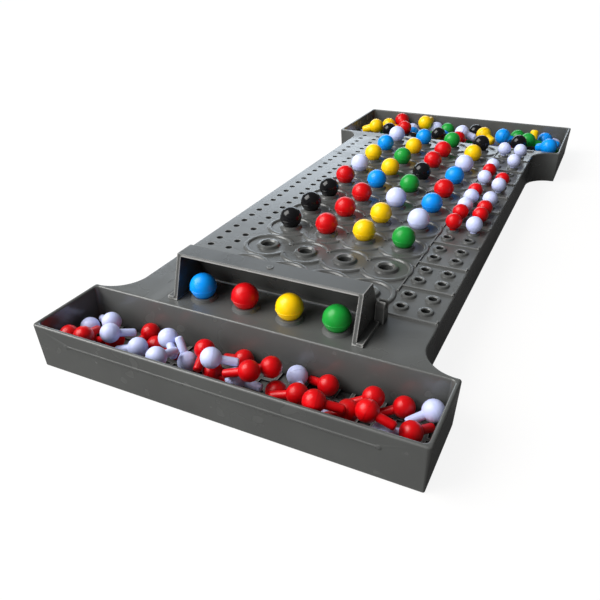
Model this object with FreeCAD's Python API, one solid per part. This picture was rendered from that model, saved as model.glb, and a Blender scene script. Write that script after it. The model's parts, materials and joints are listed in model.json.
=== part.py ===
import FreeCAD, Part
import math
import os
from collections import namedtuple
from FreeCAD import Vector

# Code-breaking peg game: one moulded board with a peg field between two trays, a flip-up
# shield over the secret row, pegs standing in their holes and spare pegs in the trays.
# Millimetres. X runs across the board, Y away from the code maker's end, Z up.
# The origin lies under the middle of the board, on the surface that it stands on.

# Board body
TRAY_WIDTH = 108.2
WAIST_WIDTH = 86.6
FRONT_TRAY_DEPTH = 24.8
REAR_TRAY_DEPTH = 48.4
WAIST_LENGTH = 183.2
BOARD_HEIGHT = 13.4
BOARD_WALL = 1.2
BOARD_DRAFT = 0.7
TRAY_FLOOR = 1.2
DECK_THICKNESS = 1.6
TRAY_CORNER_RADIUS = 1.2
WING_EDGE_RADIUS = 0.8
SHARPEST_CORNER = 0.4
WAIST_FILLET_RADIUS = 9.9
FILLET_END_FLAT = 0.05
CAVITY_CORNER_RADIUS = 1.2
RIM_ROUNDING = 0.5
BASE_ROUNDING = 0.3
SAME_HEIGHT = 0.01

# Ribs on the floor of the front tray
FLOOR_RIB_HEIGHT = 0.6
FLOOR_RIB_WIDTH = 0.9
FLOOR_RIB_PITCH = 4.1

# Raised line on the front face
FACE_LINE_LENGTH = 86.0
FACE_LINE_BELOW_RIM = 4.1
FACE_LINE_WIDTH = 0.8
FACE_LINE_CREST_SHARE = 0.4
FACE_LINE_PROUD = 0.2
FACE_DOT_RADIUS = 0.8
FACE_DOT_TOP_SHARE = 0.6

# Peg field
ROWS = 10
COLUMNS = 4
ROW_PITCH = 16.2
COLUMN_PITCH = 13.5
SECRET_ROW_FROM_TRAY = 6.4
FIRST_ROW_FROM_TRAY = 27.7
KEY_PITCH = 6.9
SIDE_FIELD_X = 34.85
SCORE_HOLES = 30
SCORE_HOLES_PER_ROW = 3
SCORE_LEAD = 6.8

# Raised bosses and ridges on the deck
CODE_BOSS_RADIUS = 3.9
CODE_BOSS_TOP_RADIUS = 3.45
CODE_BOSS_HEIGHT = 0.9
CODE_BOSS_ROUNDING = 0.4
CODE_SEAT_RADIUS = 2.6
KEY_BOSS_RADIUS = 2.25
KEY_BOSS_TOP_RADIUS = 1.95
KEY_BOSS_HEIGHT = 0.65
KEY_BOSS_ROUNDING = 0.25
KEY_SEAT_DEPTH = 0.2
CUTTER_OVERRUN = 1.0
RING_RADIUS = 7.5
RING_WIDTH = 1.75
RING_HEIGHT = 0.5
RING_OVERRUN = 3.0
DIVIDER_WIDTH = 0.8
DIVIDER_HEIGHT = 0.45
DIVIDER_START_X = 27.8
DIVIDER_END_X = 42.5
DIVIDER_RETURN = 1.4
SIDE_RIDGE_START = 4.5
SIDE_RIDGE_END = 3.0
RIDGE_ROOT = 0.3
FACET_LOW = 0.3
FACET_HIGH = 0.7
RIDGE_CREST_SHARE = 0.42
RIDGE_SHOULDER_SHARE = 0.7
RIDGE_SHOULDER_HEIGHT = 0.66

# Pegs
CODE_BALL_RADIUS = 3.75
CODE_LOWER_RADIUS = 3.66
CODE_PARTING_DROP = 0.3
CODE_STEM_RADIUS = 2.0
CODE_PEG_REACH = 7.5
CODE_STEM_ROUNDING = 1.4
CODE_NECK_RADIUS = 2.3
CODE_NECK_END_DROP = 3.2
KEY_BALL_RADIUS = 2.75
KEY_STEM_RADIUS = 1.1
KEY_PEG_REACH = 7.0
KEY_STEM_ROUNDING = 0.75
KEY_BALL_RISE = 0.05
STEM_CLEARANCE = 0.05
SEAT_CLEARANCE = 0.1

# Shield over the secret row, measured from the front edge of the deck and from its top
SHIELD_WIDTH = 54.8
SHIELD_WALL = 1.2
SHIELD_ROOF = 0.7
SHIELD_HEIGHT = 12.6
SHIELD_FOOT_FROM_TRAY = 1.6
SHIELD_ROOF_FRONT = 5.8
SHIELD_ROOF_REAR = 12.0
SHIELD_REAR = 17.4
SHIELD_KNEE_HEIGHT = 2.2
SHIELD_KNEE_DEPTH = 0.3
SHIELD_PANEL_LIFT = 0.5
SHIELD_DECK_GAP = 0.1
FLANGE_WIDTH = 1.8
FLANGE_THICKNESS = 0.9
FLANGE_END_GAP = 0.3
PIVOT_FROM_TRAY = 15.5
PIVOT_HEIGHT = 4.6
PIVOT_PIN_RADIUS = 0.9
PIVOT_CLEARANCE = 0.05
BRACKET_GAP = 0.3
BRACKET_THICKNESS = 2.4
BRACKET_WIDTH = 3.6
BRACKET_SLOT_WIDTH = 1.5
PIN_END_GAP = 0.2
GATE_MARK_RADIUS = 0.9
GATE_MARK_HEIGHT = 0.2

# Room left round each spare peg that lies in a tray
LOOSE_GAP = 0.25
LOOSE_SPHERES = 8
LOOSE_END_ALLOWANCE = 0.2
SAME_LEVEL = 1e-9

# Derived levels and places
DECK_Z = BOARD_HEIGHT
BOARD_LENGTH = FRONT_TRAY_DEPTH + WAIST_LENGTH + REAR_TRAY_DEPTH
FRONT_Y = -BOARD_LENGTH / 2
WAIST_FRONT_Y = FRONT_Y + FRONT_TRAY_DEPTH
WAIST_REAR_Y = WAIST_FRONT_Y + WAIST_LENGTH
REAR_Y = BOARD_LENGTH / 2
CODE_HOLE_RADIUS = CODE_STEM_RADIUS + STEM_CLEARANCE
KEY_HOLE_RADIUS = KEY_STEM_RADIUS + STEM_CLEARANCE
PIVOT_Y = WAIST_FRONT_Y + PIVOT_FROM_TRAY
PIVOT_Z = DECK_Z + PIVOT_HEIGHT
X_AXIS = Vector(1, 0, 0)
Y_AXIS = Vector(0, 1, 0)
Z_AXIS = Vector(0, 0, 1)

# Colours of the code pegs in each row, from the left, for the rows that are filled.
# Row a is the one next to the shield; rows a and b stand empty.
PLACED_CODE = {
    "c": ("black", "red", "yellow", "green"),
    "d": ("black", "red", "yellow", "white"),
    "e": ("black", "red", "white", "blue"),
    "f": ("red", "blue", "green", "red"),
    "g": ("white", "yellow", "black", "blue"),
    "h": ("yellow", "green", "red", "white"),
    "i": ("blue", "yellow", "red", "yellow"),
    "j": ("white", "blue", "green", "black"),
}
SECRET_CODE = ("blue", "red", "yellow", "green")

# Key pegs in each row, in the order near left, near right, far left, far right.
PLACED_KEYS = {
    "d": (None, None, "red", "white"),
    "e": ("red", "red", "white", "red"),
    "f": ("white", "white", "red", None),
    "g": (None, "white", "white", "red"),
    "h": ("red", None, "white", None),
    "i": (None, "white", None, None),
    "j": ("white", "white", None, None),
}

LEFT = -1
RIGHT = 1

# A spare peg's ball lies in by some distance from the tray's left or right wall, and y from
# its near wall. Its stem points along heading, in degrees. It dips by pitch, or until its
# end rests where pitch is None.
LoosePeg = namedtuple("LoosePeg", "colour side inward y heading pitch", defaults=(None,))

LOOSE_KEYS = (
    LoosePeg("red", LEFT, 13.9, 12.0, 184),
    LoosePeg("red", LEFT, 46.9, 11.0, 0),
    LoosePeg("white", LEFT, 15.9, 9.0, 53),
    LoosePeg("white", LEFT, 38.4, 12.0, 150, -50),
    LoosePeg("white", LEFT, 4.4, 13.0, 312),
    LoosePeg("red", RIGHT, 10.4, 18.5, 207),
    LoosePeg("white", RIGHT, 50.9, 9.5, 12),
    LoosePeg("white", LEFT, 10.4, 15.5, 158),
    LoosePeg("red", LEFT, 26.4, 14.5, 0),
    LoosePeg("white", RIGHT, 11.9, 8.5, 40),
    LoosePeg("white", LEFT, 30.9, 14.5, 317),
    LoosePeg("white", LEFT, 24.4, 9.5, 192),
    LoosePeg("white", LEFT, 35.4, 4.0, 80),
    LoosePeg("red", LEFT, 20.9, 19.0, 250),
    LoosePeg("red", LEFT, 42.9, 14.0, 285),
    LoosePeg("red", LEFT, 51.4, 19.0, 171),
    LoosePeg("white", LEFT, 48.4, 9.0, 30),
    LoosePeg("white", RIGHT, 26.9, 8.5, 0),
    LoosePeg("red", RIGHT, 42.4, 12.5, 193),
    LoosePeg("red", RIGHT, 45.9, 8.0, 193),
    LoosePeg("red", RIGHT, 29.9, 18.5, 159),
    LoosePeg("red", RIGHT, 40.4, 11.0, 0),
    LoosePeg("white", RIGHT, 38.4, 18.5, 310),
    LoosePeg("red", RIGHT, 33.4, 8.5, 190),
    LoosePeg("red", RIGHT, 17.4, 16.5, 208),
    LoosePeg("red", RIGHT, 20.4, 8.0, 210),
    LoosePeg("red", RIGHT, 5.9, 9.5, 60),
    LoosePeg("red", RIGHT, 26.4, 3.0, 20),
    LoosePeg("white", RIGHT, 3.4, 18.0, 222),
    LoosePeg("red", RIGHT, 15.4, 7.0, 357),
    LoosePeg("red", LEFT, 4.9, 5.0, 40),
    LoosePeg("red", LEFT, 11.4, 4.0, 100),
)

LOOSE_CODE = (
    LoosePeg("white", LEFT, 4.4, 21.0, 0),
    LoosePeg("white", LEFT, 10.4, 30.0, 0),
    LoosePeg("green", LEFT, 16.4, 21.5, 80),
    LoosePeg("yellow", LEFT, 12.4, 37.0, 0),
    LoosePeg("yellow", LEFT, 11.9, 17.0, 200),
    LoosePeg("black", LEFT, 19.9, 15.5, 0),
    LoosePeg("red", LEFT, 24.9, 26.0, 150),
    LoosePeg("white", LEFT, 24.9, 41.5, 0),
    LoosePeg("blue", LEFT, 27.4, 34.0, 0),
    LoosePeg("white", LEFT, 38.9, 40.0, 160),
    LoosePeg("black", LEFT, 30.4, 23.5, 60),
    LoosePeg("green", LEFT, 40.9, 29.0, 140),
    LoosePeg("blue", LEFT, 46.9, 24.5, 0),
    LoosePeg("black", LEFT, 45.9, 17.5, 0),
    LoosePeg("yellow", LEFT, 48.9, 13.0, 0),
    LoosePeg("green", LEFT, 46.9, 32.0, 150),
    LoosePeg("green", RIGHT, 43.9, 26.0, 0),
    LoosePeg("white", RIGHT, 48.9, 22.5, 0),
    LoosePeg("red", RIGHT, 47.4, 36.5, 0),
    LoosePeg("red", RIGHT, 48.9, 14.0, 220),
    LoosePeg("black", RIGHT, 43.9, 32.0, 70),
    LoosePeg("yellow", RIGHT, 38.4, 25.5, 325),
    LoosePeg("white", RIGHT, 34.9, 30.5, 120),
    LoosePeg("blue", RIGHT, 22.9, 25.5, 40),
    LoosePeg("yellow", RIGHT, 30.4, 37.5, 0),
    LoosePeg("blue", RIGHT, 28.4, 22.5, 0),
    LoosePeg("red", RIGHT, 21.4, 18.0, 0),
    LoosePeg("green", RIGHT, 22.9, 35.5, 300),
    LoosePeg("black", RIGHT, 18.9, 10.5, 130),
    LoosePeg("white", RIGHT, 5.4, 40.5, 180),
    LoosePeg("black", RIGHT, 8.9, 23.5, 40),
    LoosePeg("black", RIGHT, 13.4, 13.5, 260),
    LoosePeg("blue", RIGHT, 9.4, 35.0, 0),
    LoosePeg("green", RIGHT, 4.4, 14.5, 140),
    LoosePeg("blue", RIGHT, 4.9, 8.0, 140),
    LoosePeg("yellow", RIGHT, 14.4, 28.5, 90, -75),
    LoosePeg("yellow", LEFT, 33.4, 36.0, 80, 0),
    LoosePeg("red", LEFT, 18.4, 41.5, 300, 10),
    LoosePeg("green", RIGHT, 15.9, 19.5, 10),
)


def row_y(row):
    """Y of a row of the peg field, where row 0 is the one next to the shield."""
    return WAIST_FRONT_Y + FIRST_ROW_FROM_TRAY + row * ROW_PITCH


def column_x(column):
    """X of a column of the code field, counted from the left."""
    return (column - (COLUMNS - 1) / 2) * COLUMN_PITCH


def secret_y():
    """Y of the row under the shield."""
    return WAIST_FRONT_Y + SECRET_ROW_FROM_TRAY


def key_places(row):
    """The four key holes of a row: near left, near right, far left, far right."""
    half = KEY_PITCH / 2
    return [
        (SIDE_FIELD_X + side * half, row_y(row) + end * half)
        for end in (-1, 1)
        for side in (-1, 1)
    ]


def code_places():
    """Every hole for a code peg: the field and the secret row."""
    field = [(column_x(c), row_y(r)) for r in range(ROWS) for c in range(COLUMNS)]
    return field + [(column_x(c), secret_y()) for c in range(COLUMNS)]


def score_places():
    """The two lines of plain scoring holes on the left of the deck."""
    half = KEY_PITCH / 2
    step = ROW_PITCH / SCORE_HOLES_PER_ROW
    start = row_y(0) - SCORE_LEAD
    return [
        (-SIDE_FIELD_X + side * half, start + index * step)
        for index in range(SCORE_HOLES)
        for side in (-1, 1)
    ]


def rounded_wire(corners, z):
    """A closed outline through (x, y, radius) corners, at height z."""
    tangents = []
    for index, (x, y, radius) in enumerate(corners):
        before = corners[index - 1]
        after = corners[(index + 1) % len(corners)]
        here = Vector(x, y, z)
        to_before = (Vector(before[0], before[1], z) - here).normalize()
        to_after = (Vector(after[0], after[1], z) - here).normalize()
        start = here + to_before * radius
        end = here + to_after * radius
        bisector = (to_before + to_after).normalize()
        middle = here + bisector * (radius * (math.sqrt(2) - 1))
        tangents.append((start, middle, end))
    edges = []
    for index, (start, middle, end) in enumerate(tangents):
        edges.append(Part.Arc(start, middle, end).toShape())
        following = tangents[(index + 1) % len(tangents)][0]
        edges.append(Part.makeLine(end, following))
    return Part.Wire(edges)


def inset_at(z):
    """How far the drafted walls stand inside the top outline at height z."""
    return BOARD_DRAFT * (BOARD_HEIGHT - z) / BOARD_HEIGHT


def board_wire(inset, z):
    """The board's plan, a waist between two wider trays, drawn in by inset."""
    tray = TRAY_WIDTH / 2 - inset
    waist = WAIST_WIDTH / 2 - inset
    front = FRONT_Y + inset
    front_wing = WAIST_FRONT_Y - inset
    rear_wing = WAIST_REAR_Y + inset
    rear = REAR_Y - inset
    outer = max(TRAY_CORNER_RADIUS - inset, SHARPEST_CORNER)
    wing = max(WING_EDGE_RADIUS - inset, SHARPEST_CORNER)
    fillet = min(WAIST_FILLET_RADIUS + inset, tray - waist - wing - FILLET_END_FLAT)
    right = [
        (tray, front, outer),
        (tray, front_wing, wing),
        (waist, front_wing, fillet),
        (waist, rear_wing, fillet),
        (tray, rear_wing, wing),
        (tray, rear, outer),
    ]
    left = [(-x, y, radius) for x, y, radius in reversed(right)]
    return rounded_wire(right + left, z)


def drafted_solid(wire_at, extra_inset, low, high):
    """A solid between two heights whose outline follows the draft of the walls."""
    lower = wire_at(inset_at(low) + extra_inset, low)
    upper = wire_at(inset_at(high) + extra_inset, high)
    return Part.makeLoft([lower, upper], True, True)


def tray_hollow(front, rear):
    """The open inside of a tray between two outer faces, above its floor."""

    def wire_at(inset, z):
        half = TRAY_WIDTH / 2 - BOARD_WALL - inset
        near = front + BOARD_WALL + inset
        far = rear - BOARD_WALL - inset
        radius = CAVITY_CORNER_RADIUS
        corners = [(half, near), (half, far), (-half, far), (-half, near)]
        return rounded_wire([(x, y, radius) for x, y in corners], z)

    return drafted_solid(wire_at, 0, TRAY_FLOOR, BOARD_HEIGHT + BOARD_WALL)


def under_deck_hollow():
    """The open underside between the two trays."""
    roof = DECK_Z - DECK_THICKNESS
    inside = drafted_solid(board_wire, BOARD_WALL, -BOARD_WALL, roof)
    low = Vector(-TRAY_WIDTH / 2, WAIST_FRONT_Y, -BOARD_WALL)
    span = Part.makeBox(TRAY_WIDTH, WAIST_LENGTH, BOARD_HEIGHT + BOARD_WALL, low)
    return inside.common(span)


def edges_at(solid, z):
    """The edges of a solid that lie wholly at one height."""
    return [
        edge
        for edge in solid.Edges
        if abs(edge.BoundBox.ZMin - z) < SAME_HEIGHT and abs(edge.BoundBox.ZMax - z) < SAME_HEIGHT
    ]


def board_shell():
    """The moulded body with its two trays, before anything stands on the deck."""
    body = drafted_solid(board_wire, 0, 0, BOARD_HEIGHT)
    body = body.makeFillet(BASE_ROUNDING, edges_at(body, 0))
    body = body.cut([tray_hollow(FRONT_Y, WAIST_FRONT_Y), tray_hollow(WAIST_REAR_Y, REAR_Y)])
    body = body.makeFillet(RIM_ROUNDING, edges_at(body, BOARD_HEIGHT))
    return body.cut(under_deck_hollow())


def revolved(profile, place=Vector(0, 0, 0)):
    """A solid turned from a closed profile of edges in the XZ plane, moved to its place."""
    solid = Part.Face(Part.Wire(profile)).revolve(Vector(0, 0, 0), Z_AXIS, 360)
    solid.translate(place)
    return solid


def path_edges(points):
    """Straight edges through (radius, height) points, closed back to the first."""
    vectors = [Vector(r, 0, z) for r, z in points]
    return [Part.makeLine(a, b) for a, b in zip(vectors, vectors[1:] + vectors[:1])]


def boss(radius, top_radius, height, rounding, place):
    """A low round boss with sloping sides and a rounded shoulder, rooted in the deck."""
    points = [
        (0, -RIDGE_ROOT),
        (radius, -RIDGE_ROOT),
        (radius, 0),
        (top_radius + rounding * FACET_LOW, height - rounding),
        (top_radius, height - rounding * FACET_LOW),
        (top_radius - rounding * FACET_HIGH, height),
        (0, height),
    ]
    return revolved(path_edges(points), Vector(place[0], place[1], DECK_Z))


def countersunk_hole(place, mouth, bore, depth, top):
    """Cutting tool for a bore through the deck with a countersink in the boss above it."""
    low = -DECK_THICKNESS - CUTTER_OVERRUN
    points = [
        (0, top + CUTTER_OVERRUN),
        (mouth, top + CUTTER_OVERRUN),
        (mouth, top),
        (bore, top - depth),
        (bore, low),
        (0, low),
    ]
    return revolved(path_edges(points), Vector(place[0], place[1], DECK_Z))


def code_hole(place):
    """Cutting tool for a code hole."""
    depth = CODE_SEAT_RADIUS - CODE_HOLE_RADIUS
    return countersunk_hole(place, CODE_SEAT_RADIUS, CODE_HOLE_RADIUS, depth, CODE_BOSS_HEIGHT)


def key_hole(place):
    """Cutting tool for a key hole."""
    mouth = KEY_HOLE_RADIUS + KEY_SEAT_DEPTH
    return countersunk_hole(place, mouth, KEY_HOLE_RADIUS, KEY_SEAT_DEPTH, KEY_BOSS_HEIGHT)


def score_hole(place):
    """Cutting tool for a plain scoring hole."""
    base = Vector(place[0], place[1], DECK_Z - DECK_THICKNESS - CUTTER_OVERRUN)
    height = DECK_THICKNESS + 2 * CUTTER_OVERRUN
    return Part.makeCylinder(KEY_HOLE_RADIUS, height, base, Z_AXIS)


def ridge_profile(centre, width, height):
    """A low ridge's cross-section in the XZ plane: a crown of facets on a root in the deck."""
    half = width / 2
    side = [
        (half * RIDGE_CREST_SHARE, height),
        (half * RIDGE_SHOULDER_SHARE, height * RIDGE_SHOULDER_HEIGHT),
        (half, 0),
        (half, -RIDGE_ROOT),
    ]
    outline = [(-x, z) for x, z in reversed(side)] + side
    return Part.Face(Part.Wire(path_edges([(centre + x, z) for x, z in outline])))


def ridge_arc(centre, start, sweep):
    """A curved ridge round a code hole, from one angle through a sweep, in degrees."""
    face = ridge_profile(RING_RADIUS, RING_WIDTH, RING_HEIGHT)
    solid = face.revolve(Vector(0, 0, 0), Z_AXIS, sweep)
    solid.rotate(Vector(0, 0, 0), Z_AXIS, start)
    solid.translate(Vector(centre[0], centre[1], DECK_Z))
    return solid


def ridge_line(start, end):
    """A straight ridge on the deck between two points."""
    along = Vector(end[0] - start[0], end[1] - start[1], 0)
    solid = ridge_profile(0, DIVIDER_WIDTH, DIVIDER_HEIGHT).extrude(Y_AXIS * along.Length)
    heading = math.degrees(math.atan2(along.y, along.x)) - 90
    solid.rotate(Vector(0, 0, 0), Z_AXIS, heading)
    solid.translate(Vector(start[0], start[1], DECK_Z))
    return solid


def row_outline(row):
    """The scalloped ridge round one row: four overlapping circles with no line between them."""
    cusp = math.degrees(math.acos(COLUMN_PITCH / 2 / RING_RADIUS))
    reach = cusp - RING_OVERRUN
    arcs = []
    for column in range(COLUMNS):
        centre = (column_x(column), row_y(row))
        if column == 0:
            arcs.append(ridge_arc(centre, reach, 360 - 2 * reach))
        elif column == COLUMNS - 1:
            arcs.append(ridge_arc(centre, reach - 180, 360 - 2 * reach))
        else:
            arcs.append(ridge_arc(centre, reach, 180 - 2 * reach))
            arcs.append(ridge_arc(centre, 180 + reach, 180 - 2 * reach))
    return arcs


def key_dividers():
    """Thin ridges between the blocks of key holes, and the broken ridge on their left."""
    ridges = []
    for row in range(ROWS + 1):
        y = row_y(row) - ROW_PITCH / 2
        ridges.append(ridge_line((DIVIDER_START_X, y), (DIVIDER_END_X, y)))
        ridges.append(ridge_line((DIVIDER_END_X, y), (DIVIDER_END_X, y + DIVIDER_RETURN)))
    for row in range(ROWS - 1):
        start = row_y(row) + SIDE_RIDGE_START
        end = row_y(row + 1) - SIDE_RIDGE_END
        ridges.append(ridge_line((DIVIDER_START_X, start), (DIVIDER_START_X, end)))
    return ridges


def floor_ribs():
    """The square lattice of low ribs on the floor of the front tray."""
    half = TRAY_WIDTH / 2 - BOARD_WALL
    near = FRONT_Y + BOARD_WALL
    far = WAIST_FRONT_Y - BOARD_WALL
    height = FLOOR_RIB_HEIGHT + RIDGE_ROOT
    low = TRAY_FLOOR - RIDGE_ROOT
    foot = far - inset_at(TRAY_FLOOR)
    ribs = []
    for index in range(1, int((far - near) / FLOOR_RIB_PITCH) + 1):
        y = foot - index * FLOOR_RIB_PITCH
        corner = Vector(-half, y - FLOOR_RIB_WIDTH / 2, low)
        ribs.append(Part.makeBox(2 * half, FLOOR_RIB_WIDTH, height, corner))
    columns = int(half / FLOOR_RIB_PITCH)
    for index in range(-columns, columns + 1):
        corner = Vector(index * FLOOR_RIB_PITCH - FLOOR_RIB_WIDTH / 2, near, low)
        ribs.append(Part.makeBox(FLOOR_RIB_WIDTH, far - near, height, corner))
    return ribs


def face_line():
    """The thin raised line on the front face, with a round dot at each end."""
    z = BOARD_HEIGHT - FACE_LINE_BELOW_RIM
    face = FRONT_Y + inset_at(z)
    front = face - FACE_LINE_PROUD
    root = face + BOARD_WALL / 2
    edge = FACE_LINE_WIDTH / 2
    crest = edge * FACE_LINE_CREST_SHARE
    section = [
        (root, z - edge),
        (face, z - edge),
        (front, z - crest),
        (front, z + crest),
        (face, z + edge),
        (root, z + edge),
    ]
    pieces = [slab(section, -FACE_LINE_LENGTH / 2, FACE_LINE_LENGTH)]
    for side in (-1, 1):
        centre = Vector(side * FACE_LINE_LENGTH / 2, face, z)
        top_radius = FACE_DOT_RADIUS * FACE_DOT_TOP_SHARE
        dot = Part.makeCone(FACE_DOT_RADIUS, top_radius, FACE_LINE_PROUD, centre, -Y_AXIS)
        pieces.append(dot)
        pieces.append(Part.makeCylinder(FACE_DOT_RADIUS, BOARD_WALL / 2, centre, Y_AXIS))
    return pieces


def bracket(side):
    """A post beside the shield, round at its top and slotted so that a pin snaps into it."""
    inner = SHIELD_WIDTH / 2 + BRACKET_GAP
    low_x = inner if side > 0 else -inner - BRACKET_THICKNESS
    post = Part.makeBox(
        BRACKET_THICKNESS,
        BRACKET_WIDTH,
        PIVOT_HEIGHT + RIDGE_ROOT,
        Vector(low_x, PIVOT_Y - BRACKET_WIDTH / 2, DECK_Z - RIDGE_ROOT),
    )
    centre = Vector(low_x, PIVOT_Y, PIVOT_Z)
    head = Part.makeCylinder(BRACKET_WIDTH / 2, BRACKET_THICKNESS, centre, X_AXIS)
    cut_width = BRACKET_THICKNESS + 2 * CUTTER_OVERRUN
    cut_start = centre - X_AXIS * CUTTER_OVERRUN
    bore = Part.makeCylinder(PIVOT_PIN_RADIUS + PIVOT_CLEARANCE, cut_width, cut_start, X_AXIS)
    slot = Part.makeBox(
        cut_width,
        BRACKET_SLOT_WIDTH,
        BRACKET_WIDTH / 2 + CUTTER_OVERRUN,
        cut_start - Y_AXIS * (BRACKET_SLOT_WIDTH / 2),
    )
    return post.fuse(head).cut([bore, slot]).removeSplitter()


def make_board():
    """The board: shell, bosses, ridges, ribs, brackets and every hole."""
    added = []
    for place in code_places():
        added.append(
            boss(CODE_BOSS_RADIUS, CODE_BOSS_TOP_RADIUS, CODE_BOSS_HEIGHT, CODE_BOSS_ROUNDING, place)
        )
    keys = [place for row in range(ROWS) for place in key_places(row)]
    for place in keys:
        added.append(
            boss(KEY_BOSS_RADIUS, KEY_BOSS_TOP_RADIUS, KEY_BOSS_HEIGHT, KEY_BOSS_ROUNDING, place)
        )
    for row in range(ROWS):
        added.extend(row_outline(row))
    added.extend(key_dividers())
    added.extend(floor_ribs())
    added.extend(face_line())
    added.extend(bracket(side) for side in (-1, 1))
    holes = [code_hole(place) for place in code_places()]
    holes += [key_hole(place) for place in keys]
    holes += [score_hole(place) for place in score_places()]
    return board_shell().fuse(added).cut(holes)


def slab(points, x, thickness):
    """A plate cut to a (y, z) outline, standing across X at x."""
    vectors = [Vector(x, y, z) for y, z in points]
    edges = [Part.makeLine(a, b) for a, b in zip(vectors, vectors[1:] + vectors[:1])]
    return Part.Face(Part.Wire(edges)).extrude(X_AXIS * thickness)


def make_shield():
    """The shield: roof, back, two cheeks with outward flanges, and its pivot pins."""
    half = SHIELD_WIDTH / 2
    foot = WAIST_FRONT_Y + SHIELD_FOOT_FROM_TRAY
    roof_front = WAIST_FRONT_Y + SHIELD_ROOF_FRONT
    roof_rear = WAIST_FRONT_Y + SHIELD_ROOF_REAR
    rear = WAIST_FRONT_Y + SHIELD_REAR
    base = DECK_Z + SHIELD_DECK_GAP
    top = DECK_Z + SHIELD_HEIGHT
    knee = DECK_Z + SHIELD_KNEE_HEIGHT
    panel_low = DECK_Z + SHIELD_PANEL_LIFT
    cheek = [
        (foot, base),
        (roof_front, top),
        (roof_rear, top),
        (rear, knee),
        (rear, panel_low),
        (PIVOT_Y, base),
    ]
    slope = math.hypot(rear - roof_rear, top - knee) / (top - knee)
    back = [
        (roof_rear, top),
        (rear, knee),
        (rear, panel_low),
        (rear - SHIELD_WALL, base),
        (rear - SHIELD_WALL, knee - SHIELD_KNEE_DEPTH),
        (roof_rear - SHIELD_WALL * slope, top),
    ]
    lean = (roof_front - foot) / (top - base)
    roof = [
        (roof_front, top),
        (roof_rear, top),
        (roof_rear, top - SHIELD_ROOF),
        (roof_front - lean * SHIELD_ROOF, top - SHIELD_ROOF),
    ]
    pieces = [slab(back, -half, SHIELD_WIDTH), slab(roof, -half, SHIELD_WIDTH)]
    for side in (-1, 1):
        inner = half - SHIELD_WALL if side > 0 else -half
        pieces.append(slab(cheek, inner, SHIELD_WALL))
        flange_x = half if side > 0 else -half - FLANGE_WIDTH
        flange_end = PIVOT_Y - BRACKET_WIDTH / 2 - FLANGE_END_GAP
        corner = Vector(flange_x, foot, base)
        pieces.append(Part.makeBox(FLANGE_WIDTH, flange_end - foot, FLANGE_THICKNESS, corner))
        pin_length = SHIELD_WALL / 2 + BRACKET_GAP + BRACKET_THICKNESS - PIN_END_GAP
        pin_start = half - SHIELD_WALL / 2 if side > 0 else -half + SHIELD_WALL / 2
        start = Vector(pin_start, PIVOT_Y, PIVOT_Z)
        pieces.append(Part.makeCylinder(PIVOT_PIN_RADIUS, pin_length, start, X_AXIS * side))
    mark = Vector(0, (roof_front + roof_rear) / 2, top)
    pieces.append(Part.makeCylinder(GATE_MARK_RADIUS, GATE_MARK_HEIGHT, mark, Z_AXIS))
    return pieces[0].fuse(pieces[1:]).removeSplitter()


def arc_on_sphere(radius, start_z, end_z):
    """An arc of a sphere's outline in the XZ plane between two heights on its right side."""
    start_angle = math.asin(start_z / radius)
    end_angle = math.asin(end_z / radius)
    middle = (start_angle + end_angle) / 2
    points = [
        Vector(radius * math.cos(a), 0, radius * math.sin(a))
        for a in (start_angle, middle, end_angle)
    ]
    return Part.Arc(*points).toShape()


def rounded_stem_end(radius, end_z, rounding):
    """Edges for the rounded end of a stem, from its side to its axis."""
    points = [
        Vector(radius, 0, end_z + rounding),
        Vector(radius - rounding * FACET_LOW, 0, end_z + rounding * FACET_LOW),
        Vector(radius - rounding, 0, end_z),
        Vector(0, 0, end_z),
    ]
    return [Part.makeLine(a, b) for a, b in zip(points, points[1:])]


def make_code_peg():
    """A code peg about its ball's centre, stem down: ball, parting step, neck and stem."""
    ball = CODE_BALL_RADIUS
    lower = CODE_LOWER_RADIUS
    parting = -CODE_PARTING_DROP
    neck_z = -math.sqrt(lower**2 - CODE_NECK_RADIUS**2)
    step_out = Vector(math.sqrt(ball**2 - parting**2), 0, parting)
    step_in = Vector(math.sqrt(lower**2 - parting**2), 0, parting)
    neck = Vector(CODE_NECK_RADIUS, 0, neck_z)
    neck_end = Vector(CODE_STEM_RADIUS, 0, -CODE_NECK_END_DROP)
    side = Vector(CODE_STEM_RADIUS, 0, -CODE_PEG_REACH + CODE_STEM_ROUNDING)
    edges = [arc_on_sphere(ball, ball, parting), Part.makeLine(step_out, step_in)]
    edges.append(arc_on_sphere(lower, parting, neck_z))
    edges.append(Part.makeLine(neck, neck_end))
    edges.append(Part.makeLine(neck_end, side))
    edges += rounded_stem_end(CODE_STEM_RADIUS, -CODE_PEG_REACH, CODE_STEM_ROUNDING)
    edges.append(Part.makeLine(Vector(0, 0, -CODE_PEG_REACH), Vector(0, 0, ball)))
    return revolved(edges)


def make_key_peg():
    """A key peg about its ball's centre, stem down."""
    ball = KEY_BALL_RADIUS
    join_z = -math.sqrt(ball**2 - KEY_STEM_RADIUS**2)
    join = Vector(KEY_STEM_RADIUS, 0, join_z)
    side = Vector(KEY_STEM_RADIUS, 0, -KEY_PEG_REACH + KEY_STEM_ROUNDING)
    edges = [arc_on_sphere(ball, ball, join_z), Part.makeLine(join, side)]
    edges += rounded_stem_end(KEY_STEM_RADIUS, -KEY_PEG_REACH, KEY_STEM_ROUNDING)
    edges.append(Part.makeLine(Vector(0, 0, -KEY_PEG_REACH), Vector(0, 0, ball)))
    return revolved(edges)


def code_ball_z():
    """Height of the ball's centre of a code peg whose ball rests on the rim of its hole."""
    rest = math.sqrt(CODE_LOWER_RADIUS**2 - CODE_SEAT_RADIUS**2)
    return DECK_Z + CODE_BOSS_HEIGHT + rest + SEAT_CLEARANCE


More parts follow.
